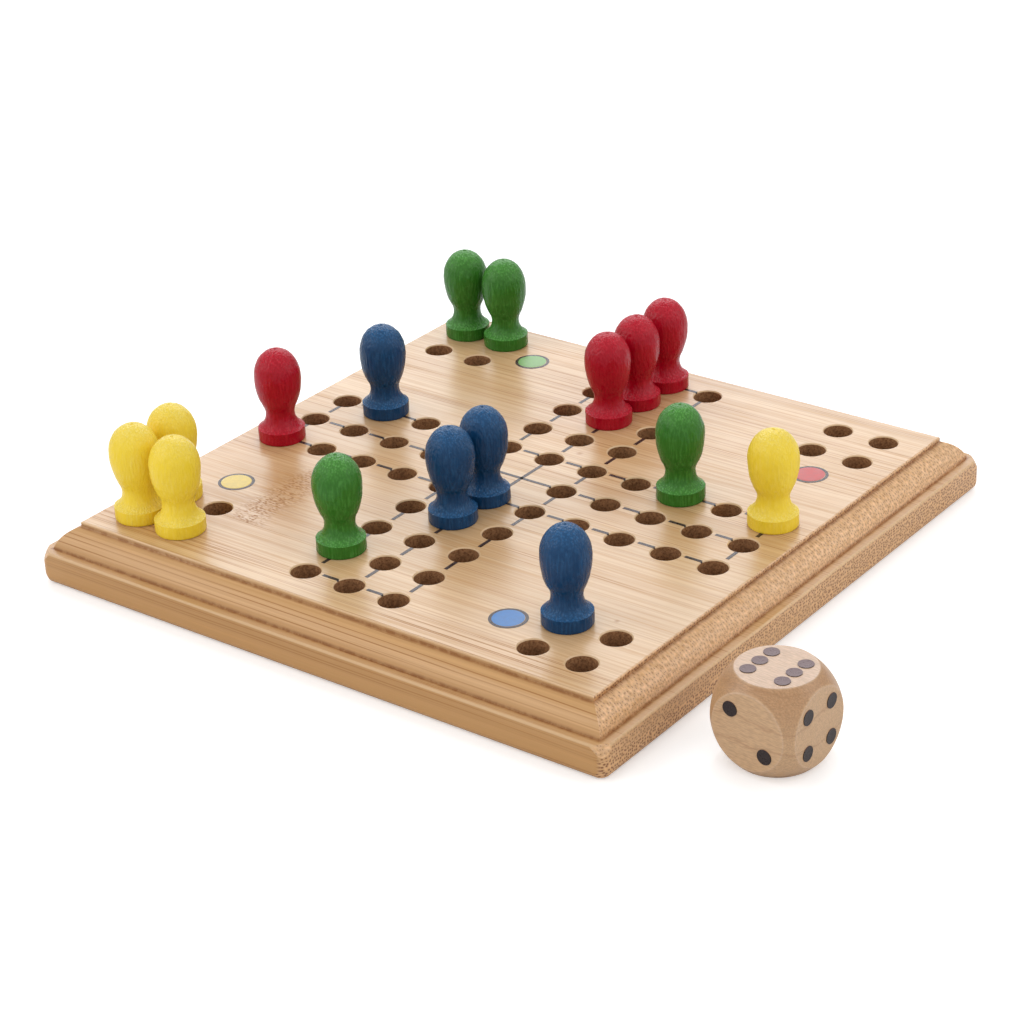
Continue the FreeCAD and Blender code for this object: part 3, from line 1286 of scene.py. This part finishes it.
@dataclass
class StartDiscs(Print):
    """The printed start discs: a black ring round a disc of each player's colour."""

    ring_radius: float = 3.3 * MM
    ring_width: float = 0.55 * MM
    disc_radius: float = 2.72 * MM
    disc_shift: Vector = Vector((-0.08 * MM, 0.04 * MM, 0.0))
    dome: float = 0.01 * MM
    dome_inset: float = 0.12
    corners: int = 96

    def build(self) -> list[Piece]:
        """Makes the rings as one piece and the four discs.

        Returns:
            All five pieces.
        """
        ring_blank = self.ring_blank()
        disc_blank = self.disc_blank()
        rings = []
        discs = []
        for colour in PlayerColour:
            place = self.printed(self.grid.point(*colour.look.start_cell))
            rings.append(Bench.copy(ring_blank, f"{colour.value}_ring", place))
            disc = Bench.copy(disc_blank, f"{colour.value}_start_disc", place + self.disc_shift)
            dress(disc, colour.ink.material())
            discs.append(disc)
        Bench.scrap(ring_blank, disc_blank)
        ring_piece = Bench.join("start_rings", rings)
        dress(ring_piece, BLACK_INK.material())
        for piece in (ring_piece, *discs):
            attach(piece, self.body)
        return [ring_piece, *discs]

    def ring_blank(self) -> Piece:
        """A flat ring about the origin: a circle drawn inwards and thickened.

        Returns:
            The blank.
        """
        Bench.clear()
        bpy.ops.mesh.primitive_circle_add(vertices=self.corners, radius=self.ring_radius, fill_type="NOTHING")
        Bench.edit()
        inner_share = 1 - self.ring_width / self.ring_radius
        bpy.ops.mesh.extrude_edges_move()
        bpy.ops.transform.resize(value=(inner_share, inner_share, 1.0))
        return self.film("ring_blank")

    def disc_blank(self) -> Piece:
        """A disc about the origin, inset once and raised a hair in the middle.

        Returns:
            The blank.
        """
        Bench.clear()
        bpy.ops.mesh.primitive_circle_add(vertices=self.corners, radius=self.disc_radius, fill_type="NGON")
        Bench.edit()
        bpy.ops.mesh.inset(thickness=self.disc_radius * self.dome_inset)
        bpy.ops.transform.translate(value=(0.0, 0.0, self.dome))
        return self.film("disc_blank")

    def film(self, name: str) -> Piece:
        """Turns the open flat mesh into a film of ink.

        Args:
            name: the film's name.

        Returns:
            The film, standing on the ground plane.
        """
        bpy.ops.mesh.select_all(action="SELECT")
        bpy.ops.mesh.normals_make_consistent(inside=False)
        piece = Bench.finish(name)
        Bench.modify(piece, "SOLIDIFY", thickness=self.thickness, offset=1.0)
        self.soften(piece)
        return piece


@dataclass
class PawnSet:
    """The turned pawns: one blank from its outline, then a copy with its own grain for each packed pawn."""

    collar_radius: float = 4.2 * MM
    collar_easing: float = 0.3 * MM
    neck_radius: float = 2.55 * MM
    neck_height: float = 5.2 * MM
    cove_radius: float = 3.2 * MM
    head_start: float = math.radians(28.0)
    widest_height: float = 12.4 * MM
    peg_radius: float = 2.5 * MM
    peg_length: float = 6.0 * MM
    peg_chamfer: float = 0.6 * MM
    dimple_radius: float = 0.3 * MM
    dimple_depth: float = 0.16 * MM
    pawns_per_colour: int = 4
    step: float = 0.25 * MM
    turns: int = 180
    weld: float = 0.001 * MM
    grain_width: float = 0.4 * MM
    grain_length: float = 2.2 * MM
    grain_relief: float = 0.11 * MM
    unevenness_size: float = 3.5 * MM
    unevenness: float = 0.18 * MM
    seed: int = 16

    def build(self) -> list[Piece]:
        """Makes every pawn.

        Returns:
            The pawns.
        """
        dice = random.Random(self.seed)
        pawns = []
        for colour in PlayerColour:
            blank = self.blank(colour.look.paint_build)
            for number in range(1, self.pawns_per_colour + 1):
                node = f"{colour.value}_pawn_{number}"
                low, high = box_of(node)
                foot = Vector(((low.x + high.x) / 2, (low.y + high.y) / 2, low.z + self.peg_length))
                pawn = Bench.copy(blank, f"{colour.value}_turned_pawn_{number}", foot)
                self.raise_grain(pawn, foot, dice)
                dress(pawn, colour.paint.material())
                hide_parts(node)
                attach(pawn, node)
                pawns.append(pawn)
            Bench.scrap(blank)
        return pawns

    @property
    def height(self) -> float:
        """From the collar's seat to the crown, as packed."""
        low, high = box_of("yellow_pawn_1")
        return high.z - low.z - self.peg_length

    def arc(self, centre: Vector, radii: Pair, start: float, end: float) -> list[Vector]:
        """Points along an arc in the XZ plane, about a step apart.

        Args:
            centre: the arc's centre.
            radii: its half width and half height.
            start, end: its end angles, from +X towards +Z.

        Returns:
            The points, both ends included.
        """
        count = max(2, math.ceil(abs(end - start) * max(radii) / self.step))
        angles = [start + (end - start) * index / count for index in range(count + 1)]
        return [centre + Vector((radii[0] * math.cos(a), 0.0, radii[1] * math.sin(a))) for a in angles]

    def outline(self, paint_build: float) -> list[Vector]:
        """The pawn's half outline, from the middle of its peg's end up to its crown.

        Args:
            paint_build: how much the paint adds to the radius.

        Returns:
            The points of the outline, in the XZ plane.
        """
        collar_radius = self.collar_radius + paint_build
        cove_centre = Vector((self.neck_radius + paint_build + self.cove_radius, 0.0, self.neck_height))
        foot_angle = math.acos((cove_centre.x - collar_radius) / self.cove_radius)
        cove_radii = (self.cove_radius, self.cove_radius)
        cove = self.arc(cove_centre, cove_radii, math.pi + foot_angle, math.pi - self.head_start)

        shoulder = cove[-1]
        rise = self.widest_height - shoulder.z
        slope = math.tan(self.head_start)
        half_width = math.sqrt(shoulder.x * (shoulder.x + slope * rise))
        flank_height = half_width * math.sqrt(rise / (slope * shoulder.x))
        crown_height = self.height - self.widest_height
        head_middle = Vector((0.0, 0.0, self.widest_height))
        flank = self.arc(head_middle, (half_width, flank_height), -math.asin(rise / flank_height), 0.0)
        dimple_rim = math.acos(self.dimple_radius / half_width)
        crown = self.arc(head_middle, (half_width, crown_height), 0.0, dimple_rim)

        easing_centre = Vector((collar_radius - self.collar_easing, 0.0, self.collar_easing))
        easing = self.arc(easing_centre, (self.collar_easing, self.collar_easing), -math.pi / 2, 0.0)
        side_count = math.ceil((cove[0].z - self.collar_easing) / self.step)
        side = [easing[-1].lerp(cove[0], index / side_count) for index in range(1, side_count)]
        peg = [
            Vector((0.0, 0.0, -self.peg_length)),
            Vector((self.peg_radius - self.peg_chamfer, 0.0, -self.peg_length)),
            Vector((self.peg_radius, 0.0, self.peg_chamfer - self.peg_length)),
            Vector((self.peg_radius, 0.0, 0.0)),
        ]
        dimple_floor = crown[-1].z - self.dimple_depth
        dimple = [Vector((self.dimple_radius / 2, 0.0, dimple_floor)), Vector((0.0, 0.0, dimple_floor))]
        return peg + easing + side + cove + flank[1:] + crown[1:] + dimple

    def blank(self, paint_build: float) -> Piece:
        """A smooth pawn with its collar's seat at the origin: its outline drawn point by point and spun.

        Args:
            paint_build: how much the paint adds to the radius.

        Returns:
            The blank.
        """
        outline = self.outline(paint_build)
        Bench.clear()
        bpy.ops.mesh.primitive_plane_add(size=self.step, location=outline[0])
        bpy.ops.object.transform_apply(location=True)
        Bench.edit()
        bpy.ops.mesh.merge(type="CENTER")
        for before, after in pairwise(outline):
            bpy.ops.mesh.extrude_vertices_move(TRANSFORM_OT_translate={"value": after - before})
        bpy.ops.mesh.select_all(action="SELECT")
        bpy.ops.mesh.spin(steps=self.turns, angle=math.tau, center=(0.0, 0.0, 0.0), axis=UP)
        bpy.ops.mesh.select_all(action="SELECT")
        bpy.ops.mesh.remove_doubles(threshold=self.weld)
        bpy.ops.mesh.normals_make_consistent(inside=False)
        blank = Bench.finish("pawn_blank")
        bpy.ops.object.shade_smooth_by_angle(angle=SMOOTH_ANGLE)
        return blank

    def raise_grain(self, pawn: Piece, foot: Vector, dice: random.Random) -> None:
        """Lets the wood's grain and the turner's unevenness stand out above the collar's seat.

        Args:
            pawn: the pawn, already in its place.
            foot: the middle of its collar's seat.
            dice: where the pawn's own grain comes from.
        """
        free = "above_seat"
        height = foot.z + self.collar_easing
        above = [point.index for point in pawn.data.vertices if point.co.z > height]
        pawn.vertex_groups.new(name=free).add(above, 1.0, "REPLACE")
        grain = (self.grain_width, self.grain_width, self.grain_length)
        lumps = (self.unevenness_size, self.unevenness_size, self.unevenness_size)
        for size, strength in ((lumps, self.unevenness), (grain, self.grain_relief)):
            relief = bpy.data.textures.new("relief", "CLOUDS")
            relief.noise_scale = 1.0
            relief.noise_depth = 1
            Bench.clear()
            own_grain = Vector([dice.uniform(-1.0, 1.0) for _ in range(3)])
            bpy.ops.object.empty_add(location=foot + own_grain)
            guide = bpy.context.object
            guide.scale = size
            bpy.context.view_layer.update()
            Bench.modify(
                pawn,
                "DISPLACE",
                texture=relief,
                texture_coords="OBJECT",
                texture_coords_object=guide,
                vertex_group=free,
                strength=strength,
                mid_level=0.5,
            )
            Bench.scrap(guide)
            bpy.data.textures.remove(relief)


@dataclass
class WoodenDie:
    """The die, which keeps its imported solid, and the black paint in its pips."""

    node: str = "die"
    finish: DieWoodFinish = DieWoodFinish()
    pip_radius: float = 1.3 * MM
    pip_offset: float = 3.15 * MM
    paint_depth: float = 0.02 * MM
    paint_thickness: float = 0.12 * MM
    dish_inset: float = 0.15
    side_gap: float = 0.01 * MM
    corners: int = 64

    def build(self) -> list[Piece]:
        """Dresses the die and paints its pips.

        Returns:
            The die and the paint of its pips.
        """
        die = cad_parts[self.node]
        dress(die, self.finish.material())
        blank = self.pip_blank()
        pips = []
        for value, outward, across in self.faces():
            for place in self.places(value, outward, across):
                pips.append(Bench.copy(blank, f"pip_{len(pips)}", place, UP.rotation_difference(outward)))
        Bench.scrap(blank)
        paint = Bench.join("die_pips", pips)
        dress(paint, PIP_PAINT.material())
        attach(paint, self.node)
        return [die, paint]

    def faces(self) -> list[tuple[int, Vector, Vector]]:
        """Lists the die's faces.

        Returns:
            Each face's number of pips, its outward direction and the direction across it.
        """
        turn = Quaternion(UP, self.finish.turn)
        x_axis = turn @ Vector((1.0, 0.0, 0.0))
        y_axis = turn @ Vector((0.0, 1.0, 0.0))
        return [
            (6, UP, x_axis),
            (1, -UP, x_axis),
            (2, -y_axis, x_axis),
            (5, y_axis, x_axis),
            (4, x_axis, y_axis),
            (3, -x_axis, y_axis),
        ]

    def places(self, value: int, outward: Vector, across: Vector) -> list[Vector]:
        """Where the pips of a face are.

        Args:
            value: how many pips it has.
            outward, across: the face's directions.

        Returns:
            The middles of the pips, on the face.
        """
        steps = []
        if value % 2 == 1:
            steps += [(0, 0)]
        if value >= 2:
            steps += [(-1, 1), (1, -1)]
        if value >= 4:
            steps += [(-1, -1), (1, 1)]
        if value == 6:
            steps += [(-1, 0), (1, 0)]
        upward = outward.cross(across)
        face = centre_of(self.node) + outward * (self.finish.side / 2 * MM)
        return [face + (across * right + upward * high) * self.pip_offset for right, high in steps]

    def pip_blank(self) -> Piece:
        """A shallow dish of paint just below the origin: a disc inset, sunk in the middle and thickened.

        Returns:
            The blank.
        """
        Bench.clear()
        radius = self.pip_radius - self.side_gap
        place = (0.0, 0.0, -self.paint_depth / 2)
        disc = {"vertices": self.corners, "radius": radius, "location": place}
        bpy.ops.mesh.primitive_circle_add(fill_type="NGON", **disc)
        Bench.edit()
        bpy.ops.mesh.inset(thickness=radius * self.dish_inset)
        bpy.ops.transform.translate(value=(0.0, 0.0, -self.paint_depth / 2))
        bpy.ops.mesh.select_all(action="SELECT")
        bpy.ops.mesh.normals_make_consistent(inside=False)
        piece = Bench.finish("pip_blank")
        Bench.modify(piece, "SOLIDIFY", thickness=self.paint_thickness, offset=-1.0)
        bpy.ops.object.shade_smooth_by_angle(angle=SMOOTH_ANGLE)
        return piece


# Studio


@dataclass(frozen=True)
class SoftPanel:
    """A large rectangular lamp that faces the board."""

    name: str
    place: Triple
    width: float
    height: float
    radiance: float
    tint: Colour = (1.0, 1.0, 1.0)

    def build(self, target: Vector) -> Piece:
        """Sets the lamp up.

        Args:
            target: where it points.

        Returns:
            The lamp.
        """
        Bench.clear()
        bpy.ops.object.light_add(type="AREA", location=self.place)
        lamp = bpy.context.object
        lamp.name = self.name
        lamp.data.shape = "RECTANGLE"
        lamp.data.size = self.width
        lamp.data.size_y = self.height
        lamp.data.energy = self.radiance * math.pi * self.width * self.height
        lamp.data.color = self.tint
        lamp.rotation_mode = "QUATERNION"
        lamp.rotation_quaternion = (target - lamp.location).to_track_quat("-Z", "Y")
        lamp.visible_camera = False
        return lamp


@dataclass
class Studio:
    """Pale floor, soft panels and the camera."""

    aim: Vector = Vector((0.00684, -0.01108, 0.0108))
    azimuth: float = math.radians(37.583)
    elevation: float = math.radians(26.910)
    roll: float = math.radians(-2.329)
    distance: float = 0.47590
    lens: float = 96.79
    nearest: float = 0.01
    floor_radius: float = 4.0
    floor_corners: int = 96
    floor_white: float = 0.85
    floor_roughness: float = 0.9
    floor_sheen: float = 0.1
    floor_glow: float = 0.35
    back_glow: float = 0.45
    front_glow: float = 0.95
    front_edges: Pair = (-0.4, 0.5)
    panels: tuple[SoftPanel, ...] = (
        SoftPanel("back_panel", (-0.75, 0.98, 0.72), 1.6, 1.0, 2.5, (0.91, 0.95, 1.0)),
        SoftPanel("left_panel", (-0.90, -0.67, 0.65), 1.0, 0.8, 1.8),
        SoftPanel("right_panel", (0.95, 0.70, 0.75), 1.0, 0.9, 1.35),
        SoftPanel("top_panel", (-0.10, 0.30, 1.10), 0.25, 0.25, 6.0),
    )

    def build(self) -> None:
        """Sets up floor, world, lamps, camera and the view transform."""
        self.lay_floor()
        self.light_world()
        for panel in self.panels:
            panel.build(self.aim)
            log.info("lamp %s", panel.name)
        self.place_camera()
        bpy.context.scene.view_settings.view_transform = "Standard"

    @property
    def backwards(self) -> Vector:
        """The camera's direction as seen from the aim point.

        Returns:
            A step of length one.
        """
        level = math.cos(self.elevation)
        across, along = math.sin(self.azimuth), -math.cos(self.azimuth)
        return Vector((across * level, along * level, math.sin(self.elevation)))

    def seen_directly(self, graph: ShaderGraph) -> Socket:
        """1 for rays from the camera, 0 for light on the object."""
        return graph.add("ShaderNodeLightPath").outputs["Is Camera Ray"]

    def lay_floor(self) -> None:
        """Lays a round white floor that keeps the object's shadow."""
        Bench.clear()
        rim = {"vertices": self.floor_corners, "radius": self.floor_radius}
        bpy.ops.mesh.primitive_circle_add(fill_type="NGON", **rim)
        floor = bpy.context.object
        floor.name = "floor"
        material = bpy.data.materials.new("floor_white")
        material.use_nodes = True
        graph = ShaderGraph(material.node_tree)
        surface = {
            "Base Color": (self.floor_white,) * 3,
            "Roughness": self.floor_roughness,
            "Specular IOR Level": self.floor_sheen,
            "Emission Color": (1.0, 1.0, 1.0),
            "Emission Strength": graph.product(self.seen_directly(graph), self.floor_glow),
        }
        graph.fill(material.node_tree.nodes["Principled BSDF"], surface)
        dress(floor, material)

    def light_world(self) -> None:
        """Surrounds the floor with white that is dimmer, as a light, on the camera's side."""
        world = bpy.data.worlds.new("white_room")
        bpy.context.scene.world = world
        world.use_nodes = True
        graph = ShaderGraph(world.node_tree)
        background = world.node_tree.nodes["Background"]
        direction = graph.add("ShaderNodeTexCoord").outputs["Generated"]
        level = Vector((self.backwards.x, self.backwards.y, 0.0)).normalized()
        towards = graph.add("ShaderNodeVectorMath", direction, level, operation="DOT_PRODUCT")
        glows = (self.back_glow, self.front_glow)
        room = graph.smooth(towards.outputs["Value"], *self.front_edges, *glows)
        strength = graph.largest(room, self.seen_directly(graph))
        graph.fill(background, {"Strength": strength, "Color": (1.0, 1.0, 1.0)})

    def place_camera(self) -> None:
        """Places the camera at the picture's viewing angle."""
        Bench.clear()
        bpy.ops.object.camera_add(location=self.aim + self.backwards * self.distance)
        camera = bpy.context.object
        camera.name = "camera"
        camera.rotation_mode = "QUATERNION"
        level = (-self.backwards).to_track_quat("-Z", "Y")
        camera.rotation_quaternion = level @ Quaternion(UP, self.roll)
        camera.data.lens = self.lens
        camera.data.clip_start = self.nearest
        bpy.context.scene.camera = camera


def main() -> None:
    """Builds every sub-assembly and the studio, and reports each piece."""
    logging.basicConfig(level=logging.INFO, format="%(message)s")
    grid = PlayGrid()
    pieces = [BambooBoard(grid).build(), PrintedTrack(grid).build()]
    pieces += StartDiscs(grid).build()
    pieces += PawnSet().build()
    pieces += WoodenDie().build()
    for piece in pieces:
        log.info("piece %s, %d faces", piece.name, len(piece.data.polygons))
    Studio().build()


if __name__ == "__main__":
    main()
